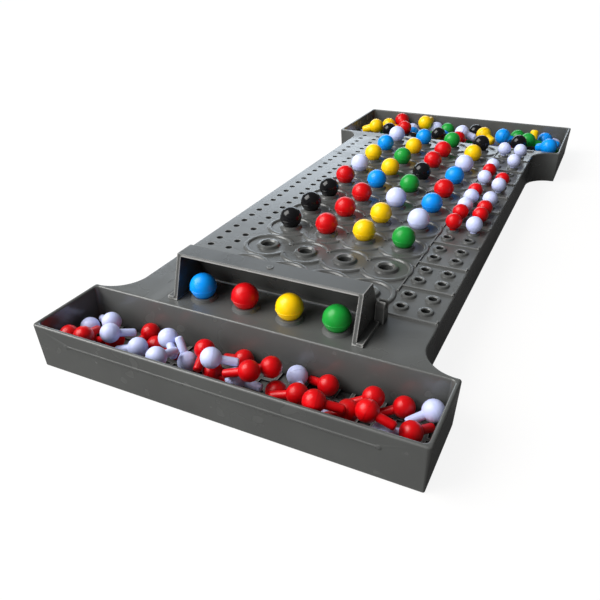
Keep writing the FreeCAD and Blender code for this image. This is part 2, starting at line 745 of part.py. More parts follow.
def key_ball_z():
    """Height of the ball's centre of a key peg, which stands a little above its boss."""
    return DECK_Z + KEY_BOSS_HEIGHT + KEY_BALL_RISE + KEY_BALL_RADIUS


def stem_direction(heading, pitch):
    """Unit vector along a lying peg's stem; pitch is how far it dips below level."""
    turn = math.radians(heading)
    dip = math.radians(pitch)
    level = math.cos(dip)
    return Vector(math.cos(turn) * level, math.sin(turn) * level, -math.sin(dip))


def resting_height(x, y, spheres, placed, floor):
    """Lowest height at which a peg, given as spheres about its ball, clears what lies there."""
    height = floor + LOOSE_GAP + max(radius - offset.z for offset, radius in spheres)
    blocked = []
    for offset, radius in spheres:
        for centre, other in placed:
            room = radius + other + LOOSE_GAP
            level = math.hypot(x + offset.x - centre.x, y + offset.y - centre.y)
            if level < room:
                half = math.sqrt(room**2 - level**2)
                blocked.append((centre.z - offset.z - half, centre.z - offset.z + half))
    moved = True
    while moved:
        moved = False
        for low, high in blocked:
            if low < height < high - SAME_LEVEL:
                height = high
                moved = True
    return height


def lay_pegs(pegs, model, ball_radius, stem_radius, reach, tray_front, floor):
    """Lay spare pegs in a tray one after another and return their solids by colour."""
    placed = []
    laid = {}
    last = reach - stem_radius + LOOSE_END_ALLOWANCE
    level_dip = math.degrees(math.asin((ball_radius - stem_radius) / last))
    for peg in pegs:
        dip = level_dip if peg.pitch is None else peg.pitch
        direction = stem_direction(peg.heading, dip)
        spheres = [(Vector(0, 0, 0), ball_radius)]
        for index in range(LOOSE_SPHERES):
            along = last * (index + 1) / LOOSE_SPHERES
            spheres.append((direction * along, stem_radius))
        x = peg.side * (TRAY_WIDTH / 2 - BOARD_WALL - peg.inward)
        y = tray_front + BOARD_WALL + peg.y
        z = resting_height(x, y, spheres, placed, floor)
        centre = Vector(x, y, z)
        placed += [(centre + offset, radius) for offset, radius in spheres]
        solid = model.copy()
        turn = FreeCAD.Rotation(Vector(0, 0, -1), direction)
        solid.Placement = FreeCAD.Placement(centre, turn)
        laid.setdefault(peg.colour, []).append(solid)
    return laid


def moved_copy(solid, x, y, z):
    """A copy of a solid at another place."""
    copy = solid.copy()
    copy.translate(Vector(x, y, z))
    return copy


def export(name, shape):
    """Write one sub-part to its own file."""
    shape.exportStep(os.path.join("parts", name + ".step"))


def main():
    os.makedirs("parts", exist_ok=True)
    export("board", make_board())
    export("code_shield", make_shield())

    code_peg = make_code_peg()
    key_peg = make_key_peg()
    rows = "abcdefghij"
    for row, colours in PLACED_CODE.items():
        for column, colour in enumerate(colours):
            y = row_y(rows.index(row))
            name = f"code_peg_{row}{column + 1}_{colour}"
            export(name, moved_copy(code_peg, column_x(column), y, code_ball_z()))
    for column, colour in enumerate(SECRET_CODE):
        name = f"secret_peg_{column + 1}_{colour}"
        export(name, moved_copy(code_peg, column_x(column), secret_y(), code_ball_z()))

    for row, colours in PLACED_KEYS.items():
        for colour in ("red", "white"):
            places = key_places(rows.index(row))
            standing = [
                moved_copy(key_peg, x, y, key_ball_z())
                for (x, y), found in zip(places, colours)
                if found == colour
            ]
            if standing:
                export(f"key_pegs_{row}_{colour}", Part.makeCompound(standing))

    key_floor = TRAY_FLOOR + FLOOR_RIB_HEIGHT
    loose_keys = lay_pegs(
        LOOSE_KEYS, key_peg, KEY_BALL_RADIUS, KEY_STEM_RADIUS, KEY_PEG_REACH, FRONT_Y, key_floor
    )
    for colour, solids in loose_keys.items():
        export(f"loose_key_pegs_{colour}", Part.makeCompound(solids))
    loose_codes = lay_pegs(
        LOOSE_CODE,
        code_peg,
        CODE_BALL_RADIUS,
        CODE_STEM_RADIUS,
        CODE_PEG_REACH,
        WAIST_REAR_Y,
        TRAY_FLOOR,
    )
    for colour, solids in loose_codes.items():
        export(f"loose_code_pegs_{colour}", Part.makeCompound(solids))


main()
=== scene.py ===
import json
import logging
import math
from dataclasses import dataclass, field
from enum import Enum
from typing import Iterable, Optional

import bmesh
import bpy
import numpy as np
from mathutils import Euler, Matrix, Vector


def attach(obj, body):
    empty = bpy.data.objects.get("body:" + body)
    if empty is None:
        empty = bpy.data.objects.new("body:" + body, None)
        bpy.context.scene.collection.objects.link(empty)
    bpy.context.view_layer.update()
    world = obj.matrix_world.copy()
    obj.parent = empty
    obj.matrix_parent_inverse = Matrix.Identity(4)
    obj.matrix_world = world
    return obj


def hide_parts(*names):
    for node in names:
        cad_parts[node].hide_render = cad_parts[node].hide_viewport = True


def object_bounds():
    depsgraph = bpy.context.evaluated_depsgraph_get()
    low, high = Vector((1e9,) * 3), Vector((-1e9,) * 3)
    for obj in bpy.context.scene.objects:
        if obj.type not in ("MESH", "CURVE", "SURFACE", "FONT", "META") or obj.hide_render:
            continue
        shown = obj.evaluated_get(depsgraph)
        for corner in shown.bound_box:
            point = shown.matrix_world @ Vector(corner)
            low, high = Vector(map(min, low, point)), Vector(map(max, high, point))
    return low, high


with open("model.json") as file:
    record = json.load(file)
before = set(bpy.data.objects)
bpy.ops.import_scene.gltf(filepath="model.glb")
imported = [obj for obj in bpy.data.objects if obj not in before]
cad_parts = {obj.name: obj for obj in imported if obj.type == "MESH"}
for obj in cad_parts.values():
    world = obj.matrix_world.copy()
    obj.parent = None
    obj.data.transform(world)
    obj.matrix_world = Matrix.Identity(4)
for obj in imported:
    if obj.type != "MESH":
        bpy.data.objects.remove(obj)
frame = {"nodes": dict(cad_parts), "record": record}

LOG = logging.getLogger("peg_game")
MM = 0.001
CAD_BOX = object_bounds()

Colour = tuple[float, float, float]


class PegColour(Enum):
    """The colours that the pegs are moulded in; each value ends a node's name."""

    RED = "red"
    WHITE = "white"
    BLACK = "black"
    YELLOW = "yellow"
    BLUE = "blue"
    GREEN = "green"

    @classmethod
    def of_node(cls, node: str) -> "PegColour":
        """Tells the colour of a peg node from the last word of its name.

        Args:
            node: A CAD node's name, such as ``code_peg_c1_black``.

        Returns:
            The colour that the name ends with.
        """
        return cls(node.rsplit("_", 1)[-1])



class ShaderTree:
    """Adds nodes to a material's or a group's tree and links them."""

    def __init__(self, tree: bpy.types.NodeTree) -> None:
        """Takes the tree to add nodes to."""
        self.tree = tree

    def node(self, kind: str, **values: object) -> bpy.types.Node:
        """Adds one node.

        Args:
            kind: The node's type, such as ``ShaderNodeTexNoise``.
            **values: Properties by name, or input values by their socket's name.

        Returns:
            The new node.
        """
        made = self.tree.nodes.new(kind)
        for name, value in values.items():
            if hasattr(made, name):
                setattr(made, name, value)
            else:
                made.inputs[name.replace("_", " ")].default_value = value
        return made

    def link(self, source: bpy.types.NodeSocket, target: bpy.types.NodeSocket) -> None:
        """Links one socket to another."""
        self.tree.links.new(source, target)

    def math(self, operation: str, first: object, second: object = 0.0) -> bpy.types.NodeSocket:
        """Adds a Math node on two values, each a number or a socket.

        Args:
            operation: The Math node's operation.
            first: The first number or socket.
            second: The second number or socket.

        Returns:
            The result's socket.
        """
        made = self.tree.nodes.new("ShaderNodeMath")
        made.operation = operation
        for index, value in enumerate((first, second)):
            if isinstance(value, bpy.types.NodeSocket):
                self.link(value, made.inputs[index])
            else:
                made.inputs[index].default_value = value
        return made.outputs[0]

    def remap(
        self, value: bpy.types.NodeSocket, low: float, high: float, to_low: float, to_high: float
    ) -> bpy.types.NodeSocket:
        """Maps one range of values to another, smoothly and with clamped ends.

        Args:
            value: The socket to map.
            low: Value that becomes ``to_low``.
            high: Value that becomes ``to_high``.
            to_low: Lowest result.
            to_high: Highest result.

        Returns:
            The mapped value's socket.
        """
        made = self.tree.nodes.new("ShaderNodeMapRange")
        made.interpolation_type = "SMOOTHSTEP"
        self.link(value, made.inputs["Value"])
        for name, number in (
            ("From Min", low),
            ("From Max", high),
            ("To Min", to_low),
            ("To Max", to_high),
        ):
            made.inputs[name].default_value = number
        return made.outputs["Result"]

    def blend(
        self, share: object, first: object, second: object, mode: str = "MIX"
    ) -> bpy.types.NodeSocket:
        """Mixes two colours, each given as a colour or a socket.

        Args:
            share: How much of the second colour, a number or a socket.
            first: The first colour.
            second: The second colour.
            mode: The Mix node's blend type.

        Returns:
            The mixed colour's socket.
        """
        made = self.tree.nodes.new("ShaderNodeMix")
        made.data_type = "RGBA"
        made.blend_type = mode
        for socket, value in ((made.inputs[0], share), (made.inputs[6], first), (made.inputs[7], second)):
            if isinstance(value, bpy.types.NodeSocket):
                self.link(value, socket)
            elif isinstance(value, tuple):
                socket.default_value = (*value, 1.0)
            else:
                socket.default_value = value
        return made.outputs[2]


class ShaderGroups:
    """The node groups that more than one finish uses, each made once."""

    @staticmethod
    def _group(name: str, inputs: dict[str, float], outputs: Iterable[str]) -> bpy.types.NodeTree:
        """Makes an empty group with a vector input and named number sockets.

        Args:
            name: The group's name.
            inputs: Number inputs and their default values.
            outputs: Names of the number outputs.

        Returns:
            The new group.
        """
        group = bpy.data.node_groups.new(name, "ShaderNodeTree")
        group.interface.new_socket("Vector", in_out="INPUT", socket_type="NodeSocketVector")
        for label, value in inputs.items():
            socket = group.interface.new_socket(label, in_out="INPUT", socket_type="NodeSocketFloat")
            socket.default_value = value
        for label in outputs:
            group.interface.new_socket(label, in_out="OUTPUT", socket_type="NodeSocketFloat")
        return group

    @classmethod
    def moulded_skin(cls) -> bpy.types.NodeTree:
        """The skin of moulded plastic: slow sink waves and a very fine grain.

        Returns:
            A group with Cloud, Grain and Height outputs.
        """
        name = "moulded_skin"
        if name in bpy.data.node_groups:
            return bpy.data.node_groups[name]
        group = cls._group(
            name, {"Cloud Scale": 60.0, "Grain Scale": 2500.0}, ("Cloud", "Grain", "Height")
        )
        tree = ShaderTree(group)
        given = tree.node("NodeGroupInput")
        result = tree.node("NodeGroupOutput")
        cloud = tree.node("ShaderNodeTexNoise", Detail=3.0, Roughness=0.55)
        grain = tree.node("ShaderNodeTexNoise", Detail=2.0, Roughness=0.6)
        for noise, scale in ((cloud, "Cloud Scale"), (grain, "Grain Scale")):
            tree.link(given.outputs["Vector"], noise.inputs["Vector"])
            tree.link(given.outputs[scale], noise.inputs["Scale"])
        height = tree.math("ADD", tree.math("MULTIPLY", cloud.outputs[0], 0.8), grain.outputs[0])
        tree.link(cloud.outputs[0], result.inputs["Cloud"])
        tree.link(grain.outputs[0], result.inputs["Grain"])
        tree.link(height, result.inputs["Height"])
        return group

    @classmethod
    def handling_marks(cls) -> bpy.types.NodeTree:
        """Fine scratches and rubbed patches that use leaves on a glossy moulding.

        Returns:
            A group with Scratch and Rub outputs.
        """
        name = "handling_marks"
        if name in bpy.data.node_groups:
            return bpy.data.node_groups[name]
        group = cls._group(name, {"Scratch Scale": 300.0, "Rub Scale": 25.0}, ("Scratch", "Rub"))
        tree = ShaderTree(group)
        given = tree.node("NodeGroupInput")
        result = tree.node("NodeGroupOutput")
        strands = []
        for turn, squeeze in ((0.5, (1.0, 0.06, 1.0)), (2.1, (0.07, 1.0, 1.0))):
            mapping = tree.node("ShaderNodeMapping")
            mapping.inputs["Rotation"].default_value = (0.2, 0.1, turn)
            mapping.inputs["Scale"].default_value = squeeze
            noise = tree.node("ShaderNodeTexNoise", Detail=1.0)
            tree.link(given.outputs["Vector"], mapping.inputs["Vector"])
            tree.link(mapping.outputs[0], noise.inputs["Vector"])
            tree.link(given.outputs["Scratch Scale"], noise.inputs["Scale"])
            strands.append(tree.remap(noise.outputs[0], 0.66, 0.74, 0.0, 1.0))
        rub = tree.node("ShaderNodeTexNoise", Detail=4.0, Roughness=0.6)
        tree.link(given.outputs["Vector"], rub.inputs["Vector"])
        tree.link(given.outputs["Rub Scale"], rub.inputs["Scale"])
        tree.link(tree.math("MAXIMUM", strands[0], strands[1]), result.inputs["Scratch"])
        tree.link(tree.remap(rub.outputs[0], 0.45, 0.7, 0.0, 1.0), result.inputs["Rub"])
        return group

    @classmethod
    def worn_relief(cls) -> bpy.types.NodeTree:
        """Where a moulding's thin edges get a painted highlight and its narrow hollows get painted shade.

        Returns:
            A group with Edge (painted highlight) and Hollow (painted shade) outputs.
        """
        name = "worn_relief"
        if name in bpy.data.node_groups:
            return bpy.data.node_groups[name]
        sizes = {"Edge Width": 0.5 * MM, "Hollow Width": 4.0 * MM}
        group = cls._group(name, sizes, ("Edge", "Hollow"))
        tree = ShaderTree(group)
        given = tree.node("NodeGroupInput")
        result = tree.node("NodeGroupOutput")
        # Edge comes from ambient occlusion inside the solid and Hollow from ambient occlusion outside it:
        # a painted highlight on thin edges and painted shade in narrow hollows.
        body = tree.node("ShaderNodeAmbientOcclusion", samples=8, only_local=True, inside=True)
        tree.link(given.outputs["Edge Width"], body.inputs["Distance"])
        air = tree.node("ShaderNodeAmbientOcclusion", samples=8, only_local=True)
        tree.link(given.outputs["Hollow Width"], air.inputs["Distance"])
        tree.link(tree.remap(body.outputs["AO"], 0.45, 0.85, 1.0, 0.0), result.inputs["Edge"])
        tree.link(tree.remap(air.outputs["AO"], 0.35, 0.85, 1.0, 0.0), result.inputs["Hollow"])
        return group


class FinishTree(ShaderTree):
    """A material's tree with its Principled shader and the coordinates it reads."""

    def __init__(self, name: str) -> None:
        """Makes the material and keeps its shader.

        Args:
            name: The material's name.
        """
        self.material = bpy.data.materials.new(name)
        self.material.use_nodes = True
        super().__init__(self.material.node_tree)
        self.shader = self.tree.nodes["Principled BSDF"]
        self.place = self.node("ShaderNodeTexCoord").outputs["Object"]

    def group(self, tree: bpy.types.NodeTree, **values: float) -> bpy.types.Node:
        """Adds a shared group that reads the finish's coordinates.

        Args:
            tree: The group.
            **values: Input values by their socket's name, with underscores for spaces.

        Returns:
            The group node.
        """
        made = self.node("ShaderNodeGroup", node_tree=tree)
        for name, value in values.items():
            made.inputs[name.replace("_", " ")].default_value = value
        self.link(self.place, made.inputs["Vector"])
        return made

    def bump(self, height: bpy.types.NodeSocket, strength: float, distance: float) -> None:
        """Bumps the shader's normal by a height.

        Args:
            height: The height's socket.
            strength: The Bump node's strength.
            distance: Depth of the relief in metres.
        """
        made = self.node("ShaderNodeBump", Strength=strength, Distance=distance)
        self.link(height, made.inputs["Height"])
        self.link(made.outputs[0], self.shader.inputs["Normal"])


@dataclass(frozen=True)
class PegFinish:
    """Glossy opaque plastic of one colour."""

    slot: str
    colour: Colour
    deep: Colour
    roughness: float = 0.3
    scatter: float = 0.0
    scatter_radius: Colour = (1.0, 1.0, 1.0)

    def material(self) -> bpy.types.Material:
        """Builds the finish.

        Returns:
            The material, with clouded colour, fine grain and handling marks.
        """
        tree = FinishTree(self.slot)
        skin = tree.group(ShaderGroups.moulded_skin(), Cloud_Scale=180.0, Grain_Scale=3800.0)
        marks = tree.group(ShaderGroups.handling_marks(), Scratch_Scale=420.0, Rub_Scale=150.0)
        colour = tree.blend(
            tree.remap(skin.outputs["Cloud"], 0.3, 0.7, 0.0, 1.0), self.colour, self.deep
        )
        tree.link(colour, tree.shader.inputs["Base Color"])
        worn = tree.math("MULTIPLY", marks.outputs["Scratch"], 0.14)
        rub_wear_and_painted_highlight = tree.math("MULTIPLY", marks.outputs["Rub"], 0.1)
        rough = tree.math("ADD", tree.math("ADD", worn, rub_wear_and_painted_highlight), self.roughness)
        tree.link(rough, tree.shader.inputs["Roughness"])
        tree.shader.inputs["IOR"].default_value = 1.46
        tree.shader.inputs["Specular IOR Level"].default_value = 0.4
        if self.scatter:
            tree.shader.inputs["Subsurface Weight"].default_value = self.scatter
            tree.shader.inputs["Subsurface Radius"].default_value = self.scatter_radius
            tree.shader.inputs["Subsurface Scale"].default_value = 0.8 * MM
        tree.bump(skin.outputs["Height"], 0.12, 0.03 * MM)
        return tree.material


PEG_FINISHES: dict[PegColour, PegFinish] = {
    PegColour.RED: PegFinish("peg_red", (0.64, 0.002, 0.005), (0.56, 0.002, 0.004)),
    PegColour.WHITE: PegFinish(
        "peg_white", (0.6, 0.65, 0.95), (0.56, 0.61, 0.91), 0.3, 0.12, (1.0, 0.9, 0.9)
    ),
    PegColour.BLACK: PegFinish("peg_black", (0.005, 0.005, 0.006), (0.008, 0.008, 0.009), 0.16),
    PegColour.YELLOW: PegFinish("peg_yellow", (0.93, 0.58, 0.002), (0.88, 0.53, 0.002)),
    PegColour.BLUE: PegFinish("peg_blue", (0.002, 0.29, 0.88), (0.002, 0.25, 0.82)),
    PegColour.GREEN: PegFinish("peg_green", (0.012, 0.31, 0.04), (0.01, 0.27, 0.034)),
}


@dataclass(frozen=True)
class BoardFinish:
    """Dark grey moulded plastic: satin outside and polished inside the trays."""

    slot: str = "board_grey"
    colour: Colour = (0.092, 0.095, 0.092)
    deep: Colour = (0.08, 0.082, 0.08)
    dust: Colour = (0.3, 0.3, 0.29)
    # colour of the painted highlight on thin edges
    rub_wear_and_painted_highlight: Colour = (0.3, 0.3, 0.29)
    # colour of the painted shade in narrow hollows
    painted_hollow_shade: Colour = (0.01, 0.01, 0.01)
    edge_width: float = 0.5 * MM
    satin: float = 0.27
    polished: float = 0.2

    def material(self) -> bpy.types.Material:
        """Builds the finish.

        Returns:
            The material, with grain, sink clouds, scuffs, a little dust, painted shade in narrow hollows
            and a painted highlight on thin edges.
        """
        tree = FinishTree(self.slot)
        skin = tree.group(ShaderGroups.moulded_skin(), Cloud_Scale=45.0, Grain_Scale=2600.0)
        marks = tree.group(ShaderGroups.handling_marks(), Scratch_Scale=190.0, Rub_Scale=32.0)
        colour = tree.blend(
            tree.remap(skin.outputs["Cloud"], 0.3, 0.7, 0.0, 1.0), self.colour, self.deep
        )
        dust = tree.math("MULTIPLY", tree.remap(skin.outputs["Grain"], 0.66, 0.82, 0.0, 1.0), 0.08)
        colour = tree.blend(dust, colour, self.dust)
        scratched = tree.math("MULTIPLY", marks.outputs["Scratch"], 0.05)
        colour = tree.blend(scratched, colour, self.dust)
        # Painted shade darkens the narrow hollows, then a painted highlight lightens the thin edges.
        relief = tree.group(ShaderGroups.worn_relief(), Edge_Width=self.edge_width)
        colour = tree.blend(tree.math("MULTIPLY", relief.outputs["Hollow"], 0.85), colour, self.painted_hollow_shade)
        colour = tree.blend(tree.math("MULTIPLY", relief.outputs["Edge"], 0.85), colour, self.rub_wear_and_painted_highlight)
        tree.link(colour, tree.shader.inputs["Base Color"])
        rough = tree.math("ADD", self.satin, tree.math("MULTIPLY", marks.outputs["Rub"], 0.12))
        rough = tree.math("SUBTRACT", rough, self._polish(tree))
        rough = tree.math("ADD", rough, tree.math("MULTIPLY", marks.outputs["Scratch"], 0.1))
        tree.link(rough, tree.shader.inputs["Roughness"])
        tree.shader.inputs["IOR"].default_value = 1.55
        tree.bump(skin.outputs["Height"], 0.3, 0.04 * MM)
        return tree.material

    def _polish(self, tree: FinishTree) -> bpy.types.NodeSocket:
        """How much smoother the upright walls inside the trays are.

        Args:
            tree: The finish's tree.

        Returns:
            The share to take off the roughness.
        """
        normal = tree.node("ShaderNodeSeparateXYZ")
        tree.link(tree.node("ShaderNodeNewGeometry").outputs["Normal"], normal.inputs[0])
        upright = tree.remap(tree.math("ABSOLUTE", normal.outputs["Z"]), 0.2, 0.6, 1.0, 0.0)
        return tree.math("MULTIPLY", upright, self.satin - self.polished)



def merged_copy(node: str, name: str, smooth_below: float) -> bpy.types.Object:
    """Copies a CAD node as a joined mesh whose shallow edges shade smooth.

    Args:
        node: The CAD node.
        name: The new object's name.
        smooth_below: Edges that turn by less than this many degrees shade smooth.

    Returns:
        The new object, at the origin.
    """
    source = frame["nodes"][node].data
    mesh = bmesh.new()
    mesh.from_mesh(source)
    bmesh.ops.remove_doubles(mesh, verts=mesh.verts, dist=0.002 * MM)
    data = bpy.data.meshes.new(name)
    mesh.to_mesh(data)
    mesh.free()
    for attribute in [a.name for a in data.attributes if a.name == "custom_normal"]:
        data.attributes.remove(data.attributes[attribute])
    data.shade_smooth()
    data.set_sharp_from_angle(angle=math.radians(smooth_below))
    piece = bpy.data.objects.new(name, data)
    bpy.context.scene.collection.objects.link(piece)
    return piece


def settle_modifiers(piece: bpy.types.Object) -> None:
    """Turns a piece and its modifiers into one plain mesh.

    Args:
        piece: The object whose modifiers are applied and removed.
    """
    graph = bpy.context.evaluated_depsgraph_get()
    made = bpy.data.meshes.new_from_object(piece.evaluated_get(graph))
    made.name = piece.name
    old = piece.data
    piece.modifiers.clear()
    piece.data = made
    bpy.data.meshes.remove(old)


def weighted_normals(piece: bpy.types.Object) -> None:
    """Adds normals that follow the large faces, so flats next to roundings stay flat."""
    modifier = piece.modifiers.new("flat faces", "WEIGHTED_NORMAL")
    modifier.mode = "FACE_AREA"
    modifier.weight = 90
    modifier.keep_sharp = True


def dress(piece: bpy.types.Object, material: bpy.types.Material) -> None:
    """Gives a piece one material."""
    piece.data.materials.clear()
    piece.data.materials.append(material)



@dataclass(frozen=True)
class PegPlace:
    """Where one peg is: its ball's centre and the way its stem points."""

    centre: Vector
    stem: Vector


@dataclass
class PegShape:
    """A ball-headed peg as a profile turned round its own axis, in millimetres."""

    name: str
    ball_radius: float
    lower_radius: float
    parting_drop: float
    stem_radius: float
    reach: float
    end_rounding: float
    neck_radius: float
    neck_end_drop: float = 0.0
    flash: float = 0.0
    segments: int = 40
    rings: int = 11

    def profile(self) -> list[tuple[float, float]]:
        """Lists the profile's points from the ball's top to the stem's end.

        Returns:
            Points of (radius, height about the ball's centre).
        """
        ball, lower, drop = self.ball_radius, self.lower_radius, self.parting_drop
        points = []
        last = math.pi / 2 + math.asin(drop / ball)
        for index in range(self.rings + 1):
            angle = last * index / self.rings
            points.append((ball * math.sin(angle), ball * math.cos(angle)))
        if self.flash:
            points.append((ball + self.flash, -drop - self.flash))
        if lower < ball:
            points.append((math.sqrt(lower**2 - drop**2), -drop - self.flash))
        first = math.asin(drop / lower)
        neck = math.acos(self.neck_radius / lower)
        steps = self.rings - 2
        for index in range(1, steps + 1):
            angle = first + (neck - first) * index / steps
            points.append((lower * math.cos(angle), -lower * math.sin(angle)))
        if self.neck_end_drop:
            points.append((self.stem_radius, -self.neck_end_drop))
        rounding = self.end_rounding
        for index in range(5):
            angle = math.pi / 2 * index / 4
            radius = self.stem_radius - rounding * (1 - math.cos(angle))
            points.append((radius, -self.reach + rounding * (1 - math.sin(angle))))
        points.append((0.0, -self.reach))
        return points

    def build(self) -> bpy.types.Object:
        """Turns the profile into a closed mesh.

        Returns:
            A peg about the origin, stem down, in metres.
        """
        mesh = bmesh.new()
        rings: list[list[bmesh.types.BMVert]] = []
        for radius, height in self.profile():
            if radius < 1e-6:
                rings.append([mesh.verts.new((0, 0, height * MM))])
                continue
            ring = []
            for index in range(self.segments):
                angle = 2 * math.pi * index / self.segments
                spot = (radius * math.cos(angle) * MM, radius * math.sin(angle) * MM, height * MM)
                ring.append(mesh.verts.new(spot))
            rings.append(ring)
        for upper, lower in zip(rings, rings[1:]):
            for index in range(self.segments):
                after = (index + 1) % self.segments
                corners = [upper[index % len(upper)], lower[index % len(lower)]]
                corners += [lower[after % len(lower)], upper[after % len(upper)]]
                mesh.faces.new(list(dict.fromkeys(corners)))
        bmesh.ops.recalc_face_normals(mesh, faces=mesh.faces)
        data = bpy.data.meshes.new(self.name)
        mesh.to_mesh(data)
        mesh.free()
        data.shade_smooth()
        data.set_sharp_from_angle(angle=math.radians(50))
        return bpy.data.objects.new(self.name, data)


class PegPlanter:
    """The Geometry Nodes tree that stands a peg on every place of a set."""

    NAME = "pegs_on_places"

    def __init__(self) -> None:
        """Builds the tree once."""
        self.tree = bpy.data.node_groups.new(self.NAME, "GeometryNodeTree")
        self.sockets: dict[str, str] = {}
        self._interface()
        self._nodes()

    def _interface(self) -> None:
        """Names the tree's inputs and output."""
        face = self.tree.interface
        face.new_socket("Places", in_out="INPUT", socket_type="NodeSocketGeometry")
        for label, kind in (
            ("Peg", "NodeSocketObject"),
            ("Spin", "NodeSocketFloat"),
            ("Seed", "NodeSocketInt"),
            ("Finish", "NodeSocketMaterial"),
        ):
            socket = face.new_socket(label, in_out="INPUT", socket_type=kind)
            self.sockets[label] = socket.identifier
        face.new_socket("Pegs", in_out="OUTPUT", socket_type="NodeSocketGeometry")

    def _nodes(self) -> None:
        """Fills the tree: aim each peg along its stem, spin it, and set its finish."""
        tree = ShaderTree(self.tree)
        given = tree.node("NodeGroupInput")
        result = tree.node("NodeGroupOutput")
        stem = tree.node("GeometryNodeInputNamedAttribute", data_type="FLOAT_VECTOR")
        stem.inputs["Name"].default_value = "stem"
        up = tree.node("ShaderNodeVectorMath", operation="SCALE")
        tree.link(stem.outputs["Attribute"], up.inputs[0])
        up.inputs["Scale"].default_value = -1.0
        aim = tree.node("FunctionNodeAlignRotationToVector", axis="Z")
        tree.link(up.outputs[0], aim.inputs["Vector"])
        spin = tree.node("FunctionNodeRandomValue", data_type="FLOAT")
        spin_max = next(s for s in spin.inputs if s.name == "Max" and s.type == "VALUE")
        tree.link(given.outputs["Spin"], spin_max)
        tree.link(given.outputs["Seed"], spin.inputs["Seed"])
        angle = next(s for s in spin.outputs if s.type == "VALUE")
        turn = tree.node("FunctionNodeAxisAngleToRotation")
        turn.inputs["Axis"].default_value = (0.0, 0.0, 1.0)
        tree.link(angle, turn.inputs["Angle"])
        both = tree.node("FunctionNodeRotateRotation", rotation_space="LOCAL")
        tree.link(aim.outputs[0], both.inputs["Rotation"])
        tree.link(turn.outputs[0], both.inputs["Rotate By"])
        peg = tree.node("GeometryNodeObjectInfo")
        tree.link(given.outputs["Peg"], peg.inputs["Object"])
        stand = tree.node("GeometryNodeInstanceOnPoints")
        tree.link(given.outputs["Places"], stand.inputs["Points"])
        tree.link(peg.outputs["Geometry"], stand.inputs["Instance"])
        tree.link(both.outputs[0], stand.inputs["Rotation"])
        real = tree.node("GeometryNodeRealizeInstances")
        tree.link(stand.outputs[0], real.inputs[0])
        finish = tree.node("GeometryNodeSetMaterial")
        tree.link(real.outputs[0], finish.inputs["Geometry"])
        tree.link(given.outputs["Finish"], finish.inputs["Material"])
        tree.link(finish.outputs[0], result.inputs[0])

    def plant(
        self,
        name: str,
        places: list[PegPlace],
        peg: bpy.types.Object,
        finish: bpy.types.Material,
        seed: int,
    ) -> bpy.types.Object:
        """Stands pegs on their places and returns them as one plain mesh.

        Args:
            name: The piece's name.
            places: Where the pegs are.
            peg: The peg about the origin.
            finish: The pegs' material.
            seed: Seed of their random turns about their own axes.

        Returns:
            The piece, at the origin.
        """
        data = bpy.data.meshes.new(name)
        data.from_pydata([p.centre for p in places], [], [])
        stems = data.attributes.new("stem", "FLOAT_VECTOR", "POINT")
        stems.data.foreach_set("vector", [c for p in places for c in p.stem])
        piece = bpy.data.objects.new(name, data)
        bpy.context.scene.collection.objects.link(piece)
        modifier = piece.modifiers.new("pegs", "NODES")
        modifier.node_group = self.tree
        modifier[self.sockets["Peg"]] = peg
        modifier[self.sockets["Spin"]] = 2 * math.pi
        modifier[self.sockets["Seed"]] = seed
        modifier[self.sockets["Finish"]] = finish
        settle_modifiers(piece)
        return piece


class PegPlaces:
    """Finds the pegs of a CAD node: each separate solid's ball and stem."""

    def __init__(self, shape: PegShape) -> None:
        """Takes the peg that the solids are."""
        self.reach = shape.reach * MM

    def read(self, node: str) -> list[PegPlace]:
        """Reads every peg of a node.

        Args:
            node: The CAD node.

        Returns:
            One place for each solid of the node.
        """
        mesh = bmesh.new()
        mesh.from_mesh(frame["nodes"][node].data)
        bmesh.ops.remove_doubles(mesh, verts=mesh.verts, dist=0.002 * MM)
        bmesh.ops.triangulate(mesh, faces=mesh.faces)
        mesh.verts.ensure_lookup_table()
        unseen = set(range(len(mesh.verts)))
        places = []
        while unseen:
            island = self._island(mesh, unseen)
            places.append(self._place(mesh, island))
        mesh.free()
        return sorted(places, key=lambda p: (round(p.centre.x, 5), round(p.centre.y, 5)))

    @staticmethod
    def _island(mesh: bmesh.types.BMesh, unseen: set[int]) -> set[int]:
        """Takes one connected solid's vertices out of those not yet seen.

        Args:
            mesh: The joined mesh.
            unseen: Indices of the vertices left; the solid's are taken out.

        Returns:
            The solid's vertex indices.
        """
        start = unseen.pop()
        island = {start}
        edge = [start]
        while edge:
            for link in mesh.verts[edge.pop()].link_edges:
                for vert in link.verts:
                    if vert.index in unseen:
                        unseen.discard(vert.index)
                        island.add(vert.index)
                        edge.append(vert.index)
        return island

    def _place(self, mesh: bmesh.types.BMesh, island: set[int]) -> PegPlace:
        """Works out one peg's place from its solid's centre of volume and its far end.

        Args:
            mesh: The joined mesh.
            island: The solid's vertex indices.

        Returns:
            The ball's centre and the stem's direction.
        """
        points = np.array([mesh.verts[i].co for i in island])
        middle = points.mean(0)
        faces = {f for i in island for f in mesh.verts[i].link_faces}
        corners = np.array([[v.co for v in f.verts] for f in faces]) - middle
        volumes = np.einsum("ij,ij->i", corners[:, 0], np.cross(corners[:, 1], corners[:, 2]))
        centre = middle + (corners.sum(1) * volumes[:, None]).sum(0) / (4 * volumes.sum())
        away = np.linalg.norm(points - centre, axis=1)
        tip = points[away > away.max() - 0.15 * MM].mean(0)
        stem = (tip - centre) / np.linalg.norm(tip - centre)
        end = ((points - centre) @ stem).max()
        return PegPlace(Vector(centre + stem * (end - self.reach)), Vector(stem))


